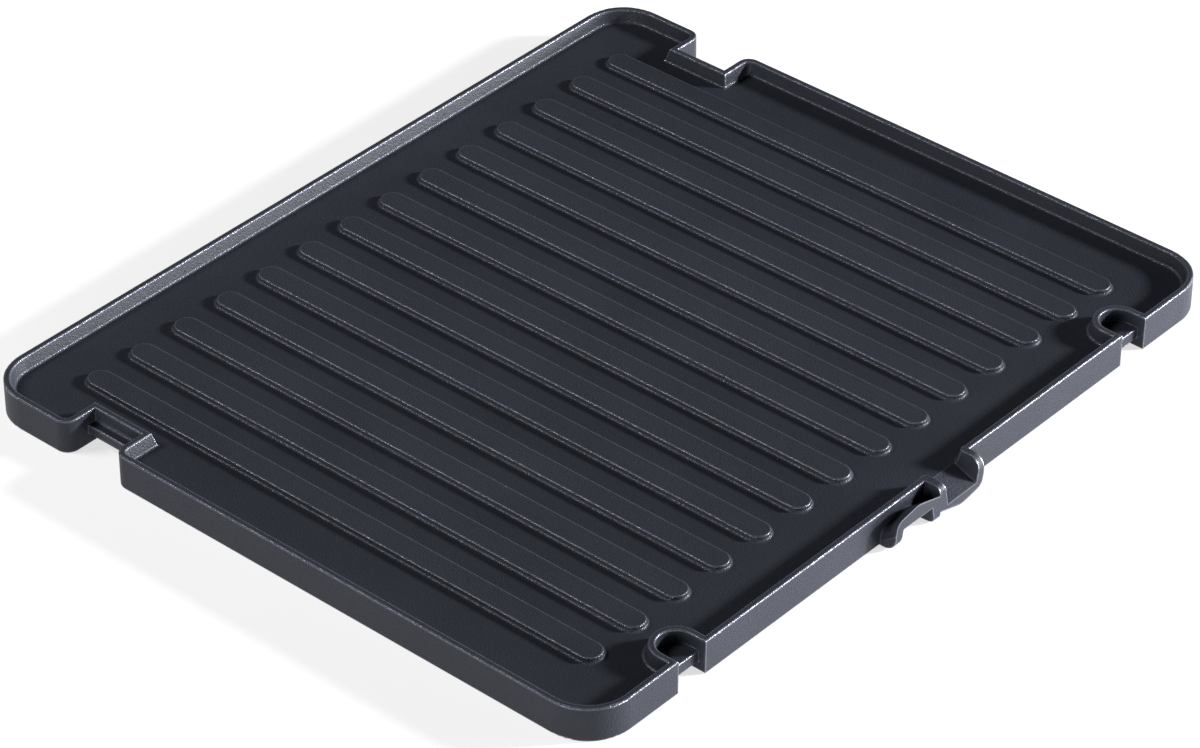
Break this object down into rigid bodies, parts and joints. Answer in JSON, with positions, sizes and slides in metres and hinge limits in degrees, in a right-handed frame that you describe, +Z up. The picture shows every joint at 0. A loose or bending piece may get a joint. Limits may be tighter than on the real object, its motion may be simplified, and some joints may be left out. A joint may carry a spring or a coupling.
{
  "type": "contact grill plate",
  "caption": "Removable, reversible contact grill plate: ribbed face up, flat face down, low rim, side notches, catch pockets and a two-way drain spout.",
  "frame": {"origin": "on the surface the plate stands on, under the middle of its bounding box", "axes": "+X across the plate to the right seen from its front, +Y from the front edge with the spout to the back, +Z up from the flat face to the ribbed face"},
  "size_m": [0.3002, 0.2574, 0.012],
  "materials": {
    "coated_aluminium": "dark non-stick coating, fine satin"
  },
  "bodies": {
    "root": {"grill_plate": "coated_aluminium"}
  },
  "joints": []
}
